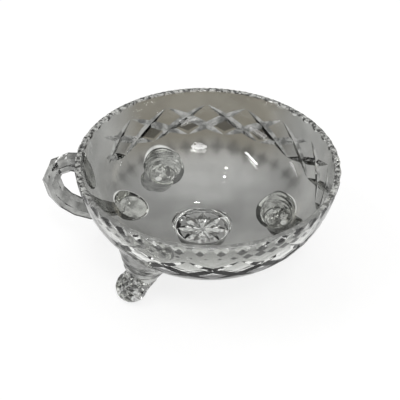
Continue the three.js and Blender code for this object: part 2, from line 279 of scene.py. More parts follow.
# Name, direction from the dish, width and depth in metres, radiance, outline
lamps = [
    ("front_lamp", (0.13, -0.50, 0.855), 0.34, 0.30, 20.0, "ELLIPSE"),
    ("front_lamp_ring", (0.16, -0.60, 0.78), 0.26, 0.06, 16.0, "ELLIPSE"),
    ("side_strip", (-0.53, -0.18, 0.82), 0.07, 0.52, 40.0, "RECTANGLE"),
    ("spot_a", (-0.151, 0.145, 0.978), 0.036, 0.036, 110.0, "ELLIPSE"),
    ("spot_b", (-0.103, 0.367, 0.925), 0.036, 0.036, 110.0, "ELLIPSE"),
    ("back_lamp", (0.008, 0.69, 0.72), 0.016, 0.012, 90.0, "ELLIPSE"),
    ("window_left", (-0.93, 0.25, 0.22), 0.30, 0.50, 5.0, "RECTANGLE"),
    ("window_right", (0.90, 0.35, 0.20), 0.25, 0.50, 5.0, "RECTANGLE"),
    ("window_front", (0.35, -0.90, 0.15), 0.25, 0.40, 5.0, "RECTANGLE"),
    ("window_back_left", (-0.50, 0.85, 0.22), 0.20, 0.50, 5.0, "RECTANGLE"),
    ("window_back_right", (0.45, 0.88, 0.18), 0.20, 0.50, 5.0, "RECTANGLE"),
    ("window_front_left", (-0.75, -0.62, 0.20), 0.20, 0.50, 5.0, "RECTANGLE"),
]


def lamp(name, spot, aim, width, depth, radiance, shape):
    """An area lamp at a spot, facing another. Its power is radiance times area times pi."""
    light = bpy.data.lights.new(name, "AREA")
    light.shape, light.size, light.size_y = shape, width, depth
    area = width * depth * (np.pi / 4 if shape == "ELLIPSE" else 1)
    light.energy = radiance * area * np.pi
    made = bpy.data.objects.new(name, light)
    bpy.context.scene.collection.objects.link(made)
    away = np.array(spot, float) - np.array(aim, float)
    away = away / np.linalg.norm(away)
    side = np.cross([0, 1, 0], away)
    side = side / np.linalg.norm(side)
    place_object(made, [side, np.cross(away, side), away], spot)


for name, heading, width, depth, radiance, shape in lamps:
    spot = lamp_aim + lamp_distance * np.array(heading) / np.linalg.norm(heading)
    lamp(name, spot, lamp_aim, width, depth, radiance, shape)
print(len(lamps), "lamps at", lamp_distance, "m")

# %% [markdown]
# Where glass is welded to the bowl
# The feet and the handle's tail are pressed on to the underside while hot. Their places come first, because
# the wall's own glass reads clearer over each weld. Angles are in plan, from the right towards the back,
# and distances are millimetres out from the bowl's axis. Between the two angles of dark, a foot's lip is
# painted near black: painted shade for the dark room that it would mirror.

# %% Weld places
feet = {
    "foot_right": dict(
        angle=8.6, root=47, spread=16.6, deep=12.6, collar=50.5, ball=60, face=8.6, dark=(150, 235)),
    "foot_back_left": dict(
        angle=123.7, root=55.8, spread=14.2, deep=12.4, collar=61.5, ball=71.2, face=123.7, dark=(-48, 12)),
    "foot_front_left": dict(
        angle=224.8, root=50.6, spread=17.4, deep=14.2, collar=53.4, ball=63.2, face=247, dark=(20, 60)),
}
tail_weld = dict(angle=171.8, root=50.9, spread=11.6, deep=11.6)
welds = [*feet.values(), tail_weld]
print("welds at", [(weld["angle"], weld["root"]) for weld in welds])

# %% [markdown]
# Painted marks in the glass
# Seen from above, the far wall of the dish shows a brownish room with dark diamonds where the lattice
# crosses, and the near wall shows small dark lozenges, which are the lattice and the scallops seen again.
# These come from things around the dish that aren't modelled, so they are painted into the tint of the glass
# as soft marks: a painted reflection of the brown room, painted shade in the diamonds and under the lattice,
# a painted lighter front, and painted reflections in the lozenges. Each one is a share from nought to one,
# worked out from the place on the dish, that blends in a second colour.

# %% Lozenges


class Spot:
    """Where a point of the glass is: right, back and up from the origin, and its angle round the bowl's
    axis."""

    def __init__(self, graph, place):
        self.graph = graph
        self.right, self.back, self.up = graph.node("SeparateXYZ", None, {"Vector": place})
        sides = {0: self.back, 1: self.right - axis_x}
        self.around = graph.node("Math", {"operation": "ARCTAN2"}, sides)[0]


def lozenges(spot, drift, first, step, height, half_width, half_height, uneven, inner, outer):
    """One row of lozenges round the bowl. The first one's angle and the step are in degrees, the height is
    under the rim, and half a width is in steps. The distances aside and above, each in halves of a lozenge,
    are added: the share is one where the sum is under the inner bound and nought where it is over the outer
    one. The drift makes the edges uneven. The whole steps keep the angle above nought before its fraction
    is taken."""
    graph = spot.graph
    whole_steps = 100
    turn = spot.around * float(np.degrees(1) / step) + (whole_steps + 0.5 - first / step)
    turn = graph.node("Math", {"operation": "FRACT"}, {0: turn})[0]
    aside = graph.node("Math", {"operation": "ABSOLUTE"}, {0: turn - 0.5})[0]
    above = graph.node("Math", {"operation": "ABSOLUTE"}, {0: spot.up - (rim_height - height)})[0]
    reach = aside * (1 / half_width) + above * (1 / half_height) + (drift - 0.5) * uneven
    return graph.fade(reach, outer, inner)


def grey(light):
    """A nearly neutral colour, a little warmer than grey."""
    return (light, light * 1.01, light * 0.98)


# %% Marks on the far wall
# Painted reflection of the brown room on the far wall, with painted shade in its dark diamonds.
band_rise = rim_height - 52 * mm, rim_height - 27 * mm
band_waver = 30 * mm
band_back = -45 * mm, 10 * mm
band_left, band_right = (-62 * mm, -34 * mm), (78 * mm, 50 * mm)
brown, painted_diamond_shade = (0.056, 0.049, 0.035), (0.008, 0.007, 0.005)
painted_dark_diamonds = dict(
    first=101.975, step=20.95, height=26.2 * mm, half_width=0.5, half_height=5.9 * mm,
    uneven=0.5, inner=0.66, outer=0.80)
# Painted shadow of the lattice on the inner face of the floor.
painted_shade_patches = dict(
    first=0, step=10.5, height=36.5 * mm, half_width=0.6, half_height=4.2 * mm,
    uneven=2.0, inner=0.1, outer=1.5)
painted_shade_back = 5 * mm, 30 * mm
painted_shade_colour = grey(0.22)


def painted_room_band(spot, drift, colour):
    """A painted reflection of the brown room: a band that fades in with height, towards the back and away
    from both sides, and dark diamonds of painted shade in it."""
    graph = spot.graph
    far = graph.fade(spot.back, *band_back)
    for side in band_left, band_right:
        far = far * graph.fade(spot.right, *side)
    rise = graph.fade(spot.up + (drift - 0.5) * band_waver, *band_rise)
    colour = graph.blend(rise * far, colour, brown)
    return graph.blend(lozenges(spot, drift, **painted_dark_diamonds) * far, colour, painted_diamond_shade)


def painted_lattice_shade(spot, drift, colour):
    """Painted shadow: soft grey patches on the inner face under the lattice, where it throws its shadow on
    the floor.
    """
    back = spot.graph.fade(spot.back, *painted_shade_back)
    return spot.graph.blend(lozenges(spot, drift, **painted_shade_patches) * back, colour, painted_shade_colour)


# %% Marks on the near wall and at the welds
# Painted light on the front side, and rows of painted reflections in it.
near_side = -30 * mm, -58 * mm
painted_upper_reflections = dict(
    first=4, step=8, height=4.6 * mm, half_width=0.30, half_height=2.4 * mm,
    uneven=0.8, inner=0.8, outer=1.15)
painted_lower_reflections = dict(
    first=2, step=5.4, height=8.6 * mm, half_width=0.36, half_height=1.7 * mm,
    uneven=3.0, inner=0.8, outer=1.15)
painted_reflection_colour = grey(0.03)
weld_edge = 1.1, 0.95
weld_colour = grey(0.80)


def painted_front_tint(light, *rows):
    """The front side takes its own tint, painted lighter on the walls and cuts and painted evenly darker on
    the rim, with rows of dark lozenges in it, which are painted reflections.
    """
    def mark(spot, drift, colour):
        close = spot.graph.fade(spot.back, *near_side)
        colour = spot.graph.blend(close, colour, grey(light))
        for row in rows:
            colour = spot.graph.blend(lozenges(spot, drift, **row) * close, colour, painted_reflection_colour)
        return colour
    return mark


def clear_welds(spot, drift, colour):
    """A clear oval over each weld: the squares of the distances out and across, in halves of the oval, add
    up to less than one inside it."""
    for weld in welds:
        cosine, sine = direction(weld["angle"])
        right = spot.right - (axis_x + weld["root"] * mm * cosine)
        back = spot.back - weld["root"] * mm * sine
        out = (right * cosine + back * sine) * (1 / (weld["deep"] * mm))
        across = (back * cosine - right * sine) * (1 / (weld["spread"] * mm))
        inside = spot.graph.fade(out * out + across * across, *weld_edge)
        colour = spot.graph.blend(inside, colour, weld_colour)
    return colour


# %% [markdown]
# Glass
# Crystal is clear and bends light strongly. On the dish it reads as a neutral smoky grey, partly because
# each wall takes a little light away and mostly as painted shade: the tints are darker than the glass's own
# and stand for the dark room seen through the walls. Every finish is one material made by the same function:
# fire-polished walls, ground cuts and scallops whose acid polish is a little less even, with the cuts' tint
# drifting to near black in patches of painted shade, the toothed rim, whose tint drifts from light to near
# black as painted glitter, and the drawn glass of the feet and the handle. All carry a slow ripple from the
# hot glass and a fine wear in the gloss. Of two plain ones, one is a mirror that catches a lamp, and the
# other is near black and opaque, painted shade for facets that would mirror the dark room.

# %% Glass
glass_bend = 1.54
bump_height = 1 * mm


def crystal(name, tint, shade, gloss, ripple, ripple_size, grain, drift_size, marks=(),
            clear=1.0, mirror=0.0, shine=1.0):
    """The tint drifts slowly to a darker shade, the gloss sets how rough the fine wipe marks are, and the
    bump is a slow ripple. Sizes are waves in a metre. Each mark changes the colour at its own place. Clear
    is the share of light let through, mirror is how metallic it is, and shine is how light its reflections
    are."""
    made = bpy.data.materials.new(name)
    graph = Graph(made)
    place = graph.node("TexCoord")[OBJECT]
    drift = graph.noise(place, drift_size, detail=2.0)
    wear = graph.noise(place, grain, detail=4.0, roughness=0.65)
    wave = graph.noise(place, ripple_size, detail=1.0)
    colour = graph.node("ValToRGB", {"stops": [(0.4, grey(shade)), (0.6, grey(tint))]}, {"Fac": drift})[0]
    spot = Spot(graph, place) if marks else None
    for mark in marks:
        colour = mark(spot, drift, colour)
    bump = graph.node("Bump", None, {"Strength": ripple, "Distance": bump_height, "Height": wave})[0]
    graph.finish(graph.node("BsdfPrincipled", None, {
        "Base Color": colour,
        "Roughness": wear * gloss,
        "IOR": glass_bend,
        "Transmission Weight": clear,
        "Metallic": mirror,
        "Specular Tint": (shine, shine, shine, 1),
        "Normal": bump,
    })[0])
    return made


# %% Finishes
# Name, tint, shade, gloss, ripple, waves in a metre of the ripple, of the wear and of the drift, marks
glasses = [
    # The tints are darker than the glass's own, as painted shade for the dark room seen through the walls.
    crystal("polished crystal", 0.20, 0.10, 0.02, 0.12, 60, 700, 22,
            [painted_room_band, painted_front_tint(0.72, painted_upper_reflections, painted_lower_reflections), clear_welds]),
    # The cuts' tint drifts to near black in patches of painted shade, and their front is painted lighter.
    crystal("mitre cut face", 0.19, 0.035, 0.05, 0.15, 500, 1600, 160, [painted_front_tint(0.85)]),
    crystal("scallop cut face", 0.60, 0.25, 0.05, 0.15, 300, 1600, 200,
            [painted_room_band, painted_front_tint(0.72, painted_upper_reflections)]),
    crystal("inner crystal", 0.82, 0.72, 0.02, 0.10, 60, 700, 60, [painted_lattice_shade], shine=0.55),
    # The rim's tint drifts from light to near black as painted glitter, and its front is painted evenly
    # darker.
    crystal("cut rim", 0.90, 0.07, 0.08, 0.30, 500, 1600, 400, [painted_front_tint(0.40)], clear=0.65),
    crystal("foot crystal", 0.58, 0.09, 0.03, 0.25, 120, 500, 120),
    crystal("foot cut face", 0.75, 0.06, 0.05, 0.20, 500, 1600, 300),
    crystal("glinting crystal", 0.95, 0.60, 0.04, 0.30, 400, 500, 300, clear=0.0, mirror=1.0),
    # Near black and opaque: painted shade for faces that would mirror the dark room, and in the collar's
    # crease.
    crystal("shaded crystal", 0.004, 0.002, 0.03, 0.25, 120, 500, 90, clear=0.0),
    crystal("handle crystal", 0.42, 0.14, 0.03, 0.20, 140, 500, 90),
]
POLISHED, CUT, DISH, INNER, RIM, FOOT, FOOT_CUT, GLINT, SHADED, HANDLE = range(len(glasses))
print("glasses:", [glass.name for glass in glasses])

# %% [markdown]
# Surfaces from numbers
# Every piece and every tool here is a closed tube: a grid of points whose rings are joined by quads, with a
# fan of triangles to a pole at each end, so that it has no open seam. A turned piece is the simplest one: a
# profile of radius and height, carried round an axis, that starts and ends on it.

# %% Making a mesh


def piece_from(name, tubes, glass=POLISHED):
    """A mesh object from one or more tubes that don't touch, with its place in its vertices. Every piece
    and tool has the same list of glasses, so that a face keeps its own glass when pieces are joined and
    cut."""
    vertices, faces, start = [], [], 0
    for points, quads, fans in tubes:
        vertices += points.tolist()
        faces += (quads + start).tolist() + (fans + start).tolist()
        start += len(points)
    mesh = bpy.data.meshes.new(name)
    mesh.from_pydata(vertices, [], faces)
    for material in glasses:
        mesh.materials.append(material)
    mesh.polygons.foreach_set("material_index", np.broadcast_to(glass, len(faces)).astype(np.int32))
    mesh.update()
    made = bpy.data.objects.new(name, mesh)
    bpy.context.scene.collection.objects.link(made)
    return made


def tube(grid, poles):
    """A closed tube from a grid of points, one row for each ring: quads between each ring and the next, and
    a fan of triangles from the first and the last ring to their poles, all facing outwards. Returns
    vertices, quads and fans."""
    rings, sides = grid.shape[:2]
    ring, side = np.meshgrid(np.arange(rings - 1), np.arange(sides), indexing="ij")
    after = (side + 1) % sides
    low, high = ring * sides, (ring + 1) * sides
    quads = np.stack([low + side, low + after, high + after, high + side], -1).reshape(-1, 4)
    side, after, last = side[0], after[0], (rings - 1) * sides
    pole = np.full(sides, rings * sides)
    fans = [np.stack([pole, after, side], -1), np.stack([pole + 1, last + side, last + after], -1)]
    return np.concatenate([grid.reshape(-1, 3), poles]), quads, np.concatenate(fans)


# %% Turning a profile
upright = np.array([[1, 0, 0], [0, 1, 0], up, bowl_axis], float)


def turned(name, profile, segments, base=upright, glass=POLISHED):
    """Profile of (radius, height) pairs from the lower pole round the outside to the upper pole, turned
    about an axis: a point at angle a is base + (radius cos a, radius sin a, height), in the axes given by
    base. A third column, where there is one, is the radius along the second axis, for an oval section. The
    glass is one for all, one for each step of the profile, or one for each step and side."""
    profile = np.asarray(profile, float)
    if profile.shape[1] == 2:
        profile = np.column_stack([profile, profile[:, 0]])
    angles = np.arange(segments) / segments * 2 * np.pi
    inner = profile[1:-1]
    ring = np.stack([np.cos(angles), np.sin(angles)], -1)
    grid = np.concatenate([
        inner[:, None, [0, 2]] * ring[None],
        np.broadcast_to(inner[:, None, 1:2], (len(inner), segments, 1)),
    ], -1)
    points, quads, fans = tube(grid, [[0, 0, profile[0, 1]], [0, 0, profile[-1, 1]]])
    glass = np.broadcast_to(np.transpose(glass), (segments, len(profile) - 1)).T
    glass = np.concatenate([glass[1:-1], glass[:1], glass[-1:]]).ravel()
    return piece_from(name, [(base[3] + points @ base[:3], quads, fans)], glass)


# %% Joining, cutting and finishing


def combine(piece, tool, operation):
    """Adds a tool to a piece or cuts it away, keeps the result as plain mesh and throws the tool away."""
    step = piece.modifiers.new("combine", "BOOLEAN")
    step.operation, step.solver, step.object = operation, "MANIFOLD", tool
    made = bpy.data.meshes.new_from_object(piece.evaluated_get(bpy.context.evaluated_depsgraph_get()))
    piece.modifiers.clear()
    old, piece.data = piece.data, made
    bpy.data.meshes.remove(old)
    bpy.data.objects.remove(tool)
    if not len(made.polygons):
        raise ValueError(f"{piece.name}: nothing is left after {operation}")


def corners_of(mesh):
    """The vertices of a mesh as rows of an array."""
    points = np.zeros(len(mesh.vertices) * 3)
    mesh.vertices.foreach_get("co", points)
    return points.reshape(-1, 3)


def facing_out(piece):
    """Turns every face of a closed mesh outwards: if the volume comes out negative, all faces are flipped.
    The volume is a sixth of the sum of the triple products of each triangle's corners."""
    mesh = piece.data
    mesh.calc_loop_triangles()
    index = np.zeros(len(mesh.loop_triangles) * 3, dtype=np.int32)
    mesh.loop_triangles.foreach_get("vertices", index)
    a, b, c = corners_of(mesh)[index.reshape(-1, 3).T]
    volume = np.einsum("ij,ij->i", a, np.cross(b, c)).sum() / 6
    if volume < 0:
        mesh.flip_normals()
    print(piece.name, "volume", round(abs(volume) * 1e6, 3), "cm3", "flipped" if volume < 0 else "")


def dress(piece, sharp):
    """Smooth shading, with crisp edges where two faces meet at a larger angle."""
    piece.data.shade_smooth()
    piece.data.set_sharp_from_angle(angle=radians(sharp))
    used = np.zeros(len(piece.data.polygons), dtype=np.int32)
    piece.data.polygons.foreach_get("material_index", used)
    print(piece.name, len(used), "faces, glasses", [glasses[i].name for i in np.unique(used)])


# %% [markdown]
# Wall of the bowl
# The dish is blown into a mould and its wall thins towards the rim. Both sides of the wall are one curve
# each, a cubic through four handles, from the rim to the axis. Heights are counted down from the rim.

# %% Wall curves
body_depth = 56.8 * mm
floor_thickness = 5.5 * mm
rim_thickness = 3.8 * mm
rim_rounding = 1.2 * mm
belly, drop, reach = 75 * mm, 50 * mm, 44 * mm
inner_pull, belly_lift = 2 * mm, 0.6


def wall_handles(thin, lift, pull):
    """Four handles of a wall curve. The inner wall is the outer one, thinner by thin and raised by lift."""
    depth = body_depth - lift
    return np.array([
        [rim_radius - thin, rim_height],
        [belly - thin, rim_height - drop + belly_lift * lift],
        [reach - pull, rim_height - depth],
        [0, rim_height - depth],
    ])


def curve(handles, share):
    """Point of a cubic curve: its four handles weighted by the cubic's four binomial terms."""
    share = np.asarray(share, float)[..., None]
    rest = 1 - share
    return np.concatenate([rest**3, 3 * share * rest**2, 3 * share**2 * rest, share**3], -1) @ handles


def curve_slope(handles, share):
    """Direction of a cubic curve, as a unit vector: three times the differences of its handles, weighted by
    the square's three binomial terms."""
    share = np.asarray(share, float)[..., None]
    rest = 1 - share
    slope = 3 * np.concatenate([rest**2, 2 * share * rest, share**2], -1) @ np.diff(handles, axis=0)
    return slope / np.linalg.norm(slope, axis=-1, keepdims=True)


outer_handles = wall_handles(0, 0, 0)
inner_handles = wall_handles(rim_thickness, floor_thickness, inner_pull)
fine = np.linspace(0, 1, 4001)
outer_fine, inner_fine = curve(outer_handles, fine), curve(inner_handles, fine)
print("wall from", outer_fine[0].round(4), "to", outer_fine[-1].round(4))

# %% Places on the wall
inner_end = 8 * mm


def share_at_depth(depth):
    """Share of the outer curve at a depth under the rim, read from a fine table of the curve."""
    return np.interp(depth, rim_height - outer_fine[:, 1], fine)


def share_at_radius(radius):
    """Share of the outer curve at a distance from the axis, read from the same table."""
    return np.interp(-radius, -outer_fine[:, 0], fine)


def on_wall(angle, depth):
    """Points of the outer wall at angles in degrees and depths under the rim, with their outward
    normals."""
    angle = np.radians(np.asarray(angle, float))
    share = share_at_depth(np.broadcast_to(depth, angle.shape))
    point, slope = curve(outer_handles, share), curve_slope(outer_handles, share)
    out = np.stack([np.cos(angle), np.sin(angle), np.zeros_like(angle)], -1)
    place = out * point[..., :1] + up * point[..., 1:] + bowl_axis
    return place, out * -slope[..., 1:] + up * slope[..., :1]


def outer_wall(rows, gap=0.0):
    """Radius and height of the outer wall from the pad up to the rim, moved outwards by a gap along its
    normal."""
    share = np.linspace(share_at_radius(inner_end), share_at_depth(rim_rounding), rows)
    slope = curve_slope(outer_handles, share)
    return curve(outer_handles, share) + gap * np.stack([-slope[:, 1], slope[:, 0]], -1)


# %% [markdown]
# Body of the bowl
# One closed profile runs from the middle of the raised pad, out along the underside, up the outer wall,
# over the rounded rim and down the inner wall to the middle of the floor. Turning it gives the whole blank.

# %% Bowl blank
bowl_segments = 360
wall_rows, inner_rows, rim_rows, under_rows = 60, 56, 6, 10
under_from = 0.9


def bowl_profile():
    """Radius and height round the whole section of the bowl, and the glass of each step of it."""
    turn = np.linspace(0, np.pi / 2, rim_rows)
    crown = rim_radius - rim_rounding, rim_height - rim_rounding
    outside = np.stack([crown[0] + rim_rounding * np.cos(turn), crown[1] + rim_rounding * np.sin(turn)], -1)
    inside = outside[::-1] * [-1, 1] + [2 * rim_radius - rim_thickness, 0]
    wall = outer_wall(wall_rows)
    outside[:, 0] += wall[-1, 0] - outside[0, 0]
    first = np.interp(rim_rounding, rim_height - inner_fine[:, 1], fine)
    down = curve(inner_handles, np.linspace(first, 1, inner_rows))
    inside[:, 0] += down[0, 0] - inside[-1, 0]
    under = curve(outer_handles, np.linspace(1, under_from, under_rows))[:-1]
    under = under[under[:, 0] < wall[0, 0]]
    profile = np.concatenate([
        under, wall, outside[1:], inside[:-1], down[:-1], [[0, rim_height - body_depth + floor_thickness]],
    ])
    crown_first = len(under) + len(wall) - 1
    inner_first = crown_first + len(outside) + len(inside) - 1
    step = np.arange(len(profile) - 1)
    return profile, np.where(step < crown_first, POLISHED, np.where(step < inner_first, RIM, INNER))


section, section_glass = bowl_profile()
bowl = turned("crystal_bowl", section, bowl_segments, glass=section_glass)
print("bowl blank", len(bowl.data.polygons), "faces")

# %% [markdown]
# Teeth of the rim
# The cutter nicks the rim all round, so that it glitters. Each nick is a shallow notch in the crown, of its
# own depth. The nicks are shallower on the front half, where the rim in the photograph looks smoother.

# %% Rim teeth
tooth_count, tooth_depth = 120, 0.4 * mm
tooth_height, tooth_least, hair = 1.4 * mm, 0.6, 1e-6
calm_least, calm_from, calm_length = 0.3, -30 * mm, 70 * mm


def notch_rim(piece):
    """Lowers the crown: a saw of tooth_count straight notches round the axis, times how near to the top the
    vertex is, times the tooth's own share, times how far back it lies. A hair more turn keeps the vertices
    between two teeth in the same one of them each time."""
    points = corners_of(piece.data)
    angle = np.arctan2(points[:, 1], points[:, 0] - axis_x) % (2 * np.pi) + hair
    turn = angle * tooth_count / (2 * np.pi)
    share = np.random.default_rng(7).uniform(tooth_least, 1, tooth_count)[turn.astype(int) % tooth_count]
    notch = 1 - np.abs(turn % 1 - 0.5) * 2
    crown = np.clip((points[:, 2] - (rim_height - tooth_height)) / tooth_height, 0, 1)
    calm = calm_least + (1 - calm_least) * np.clip((points[:, 1] - calm_from) / calm_length, 0, 1)
    points[:, 2] -= tooth_depth * share * notch * crown * calm
    piece.data.vertices.foreach_set("co", points.ravel())


notch_rim(bowl)
print(tooth_count, "teeth")

# %% [markdown]
# Pad under the floor
# The base is left thick in the middle and ground to a round pad, which carries the star. Part of its side
# is painted near black: painted shade for the dark room that it would mirror.

# %% Pad
pad_radius, pad_drop, pad_chamfer, pad_sweep = 16.4 * mm, 10.0 * mm, 1.6 * mm, 5.0 * mm
pad_root, pad_power = 2.5 * mm, 2.2
pad_shift = np.array([-2.6, -0.9, 0]) * mm
pad_bottom = rim_height - body_depth - pad_drop
pad_segments, pad_rows = 120, 14
dark_rows, dark_sides = slice(1, 9), slice(54, 94)


def pad_profile():
    """Radius and height of the pad: a flat bottom, a rounded edge and a side that sweeps out into the
    underside."""
    corner = pad_chamfer * np.array([[0, 0], [0.5, 0.13], [0.87, 0.5], [1, 1]])
    corner = corner + [pad_radius - pad_chamfer, pad_bottom]
    rise = np.linspace(0, 1, pad_rows)[1:]
    top = rim_height - body_depth + pad_root
    wide, low = pad_radius + pad_sweep * rise**pad_power, corner[-1, 1]
    side = np.stack([wide, low + (top - low) * rise], -1)
    return np.concatenate([[[0, pad_bottom]], corner, side, [[0, top]]])


pad_base = upright + np.array([[0, 0, 0]] * 3 + [pad_shift])
pad_glass = np.full((len(pad_profile()) - 1, pad_segments), POLISHED)
# Painted shade: these faces of the pad's side are near black, for the dark room that they would mirror.
pad_glass[dark_rows, dark_sides] = SHADED
combine(bowl, turned("pad", pad_profile(), pad_segments, pad_base, pad_glass), "UNION")
print("bowl with its pad", len(bowl.data.polygons), "faces")

# %% [markdown]
# Cutting wheels
# The cutter holds the blank against wheels with a V edge. Rolling in and out of the wall leaves a
# lens-shaped groove, deepest in its middle. Each groove is a wedge: its edge lies at the depth, its back
# above the wall. A wedge ends just above the face, so that its two ends are clean points.

# %% Wheel cuts
mitre_spread = np.tan(radians(60))
lift = 0.6 * mm
end_lift = 0.05 * mm


def wedge(points, normals, ahead, depth):
    """A long wedge along the points: at each one an edge at the depth below the face, and two corners above
    it."""
    side = np.cross(normals, ahead)
    side = side / np.linalg.norm(side, axis=1, keepdims=True)
    half = ((depth + lift) * mitre_spread)[:, None]
    top = points + normals * lift
    section = np.stack([points - normals * depth[:, None], top + side * half, top - side * half], 1)
    return tube(section, section[[0, -1]].mean(1))


def lens_depth(share, deepest):
    """Depth of a groove: none at both ends, full in the middle, as an upturned parabola."""
    return deepest * (1 - (2 * share - 1)**2) - end_lift


# %% [markdown]
# Lattice
# Two hands of slanting grooves cross round the wall and leave rows of small diamonds. From each top tip one
# groove runs down to each side. The wall stays plain on both sides of the handle, so the outer ones stop
# short.

# %% Lattice cuts
lattice_top, lattice_bottom, lattice_depth = 11.9 * mm, 32.2 * mm, 1.6 * mm
lattice_bow, lattice_pitch, lattice_first = 0.36, 20.95, 91.5
lattice_span = 1.5 * lattice_pitch
lattice_limits = -134, 158
lattice_tips = range(-12, 5)
least_share, small_step, groove_stations = 0.3, 0.01, 25


def lattice_groove(tip, hand, first, last):
    """A groove from a top tip: its angle moves on evenly, and its depth on the wall falls a little faster
    at first."""
    def where(at):
        fall = at + lattice_bow * at * (1 - at)
        return on_wall(tip + hand * lattice_span * at, lattice_top + (lattice_bottom - lattice_top) * fall)

    share = np.linspace(0, 1, groove_stations)
    part = first + (last - first) * share
    points, normals = where(part)
    return wedge(points, normals, where(part + small_step)[0] - points, lens_depth(share, lattice_depth))


for hand in (-1, 1):
    grooves = []
    for tip in (lattice_first + lattice_pitch * step for step in lattice_tips):
        limits = sorted(hand * (limit - tip) / lattice_span for limit in lattice_limits)
        ends = np.clip([0.0, 1.0], *limits)
        if ends[1] - ends[0] > least_share:
            grooves.append(lattice_groove(tip, hand, *ends))
    combine(bowl, piece_from("mitre_wheel", grooves, CUT), "DIFFERENCE")
    print("lattice hand", hand, "cuts", len(grooves))

# %% [markdown]
# Scallops
# Under the rim a round-edged wheel hollows forty-five shallow dishes. Each one is a cap of a ball,
# stretched to the width and the drop of the real dishes and set on the wall at the rim. Neighbours touch,
# so every third one is cut at once.

# %% Scallop cuts
scallop_count, scallop_half, scallop_drop, scallop_depth = 45, 5.2 * mm, 7.2 * mm, 0.9 * mm
dish_rings, dish_sides, dish_reach = 8, 24, 1.2


def scallop(angle):
    """A dish: depth is 1 - radius squared of a disc that is squeezed to half width by drop, closed above
    the wall."""
    rings = np.linspace(0, dish_reach, dish_rings + 1)[1:]
    angles = np.arange(dish_sides) / dish_sides * 2 * np.pi
    height = np.broadcast_to(-scallop_depth * (1 - rings**2)[:, None], (dish_rings, dish_sides))
    disc = np.stack([np.outer(rings, np.cos(angles)), np.outer(rings, np.sin(angles)), height], -1)
    cap, quads, fans = tube(disc, [[0, 0, -scallop_depth], [0, 0, scallop_depth]])
    point, normal = (v[0] for v in on_wall([angle], 0.0))
    across = np.cross(up, normal)
    across = across / np.linalg.norm(across)
    rows = np.array([across * scallop_half, up * scallop_drop, normal])
    return point + cap @ rows, quads, fans


for third in range(3):
    dishes = [scallop(360 * (i + 0.5) / scallop_count) for i in range(third, scallop_count, 3)]
    combine(bowl, piece_from("round_wheel", dishes, DISH), "DIFFERENCE")
print("scallops", scallop_count)

# %% [markdown]
# Star under the floor
# The raised pad has a star of sixteen rays, eight broad and eight narrow ones between them. Opposite rays
# don't touch, so each pair is cut at once.

# %% Star cuts
broad_rays = dict(rays=8, start=0.8 * mm, reach=17.0 * mm, deepest=2.0 * mm)
thin_rays = dict(rays=8, start=2.0 * mm, reach=14.0 * mm, deepest=0.9 * mm, turn=0.5)
ray_stations = 13


def star(centre, normal, upward, rays, start, reach, deepest, turn=0.0):
    """Grooves from the centre outwards in a flat face, evenly turned round its normal."""
    across = np.cross(normal, upward)
    share = np.linspace(0, 1, ray_stations)
    normals = np.tile(normal, (ray_stations, 1))
    made = []
    for ray in range(rays):
        angle = 2 * np.pi * (ray + turn) / rays
        along = np.tile(upward * np.cos(angle) + across * np.sin(angle), (ray_stations, 1))
        points = centre + along * (start + (reach - start) * share)[:, None]
        made.append(wedge(points, normals, along, lens_depth(share, deepest)))
    return made


def cut_star(piece, rays, glass):
    """Cuts the rays two at a time, each with the one that lies across the middle from it."""
    half = len(rays) // 2
    for ray in range(half):
        combine(piece, piece_from("star_wheel", [rays[ray], rays[ray + half]], glass), "DIFFERENCE")


pad_middle = bowl_axis + pad_shift + up * pad_bottom
straight_back = np.array([0, 1.0, 0])
cut_star(bowl, star(pad_middle, -up, straight_back, **broad_rays), FOOT_CUT)
cut_star(bowl, star(pad_middle, -up, straight_back, **thin_rays), CUT)
dress(bowl, sharp=22)

# %% [markdown]
# Seats
# Feet and handle are gathers of hot glass pressed on to the finished bowl, so each one fits the wall
# exactly and joins it without a visible gap. A filled copy of the bowl's outside, a little smaller than the
# real one, cuts their ends, so that they sink just under the wall and light passes from one glass into the
# other.

# %% Seat
sink = 0.35 * mm
seat_segments = 240


def seat():
    """The bowl's outside, filled up to the rim, and smaller by the sink."""
    wall = outer_wall(wall_rows, -sink)
    profile = np.concatenate([[[0, wall[0, 1]]], wall, [[0, rim_height]]])
    return turned("seat", profile, seat_segments, glass=INNER)


# %% [markdown]
# Handle
# The handle is a bar of hot glass, bent to a loop for one finger and pressed on at two places: an oval seal
# under the rim and a round pad under the floor. Its flat panels run along the bar, so a section with eight
# corners is carried along a path of stations, and each panel stays flat between two of them.

# %% Handle bar
handle_angle = 179
handle_corner = 3.4
handle_out = np.array([*direction(handle_angle), 0])
handle_across = np.cross(handle_out, up)
# Stations in millimetres: out past the rim, down from it, aside of the handle's plane, thickness, width
stations = np.array([
    (-6, 9.2, 0, 11, 15), (4.8, 8.2, 0, 10, 13), (13.4, 12.4, 0, 10, 12.4), (17.7, 21.4, 0, 10, 12.4),
    (15.8, 31.4, 0, 10.2, 12.4), (10.8, 38.8, 0, 11, 12.4), (3.2, 44, 0, 12, 12.4),
    (-6.4, 48, 0.8, 11.6, 12), (-15, 50.4, 2.6, 10, 11.4), (-23, 51.2, 4.8, 8, 12),
])


def handle_place(out, down, aside):
    """Point of the handle: out past the rim, down from it and aside of its plane, in millimetres."""
    out, down, aside = (np.asarray(v, float)[..., None] * mm for v in (out, down, aside))
    return bowl_axis + up * rim_height + handle_out * (rim_radius + out) - up * down + handle_across * aside


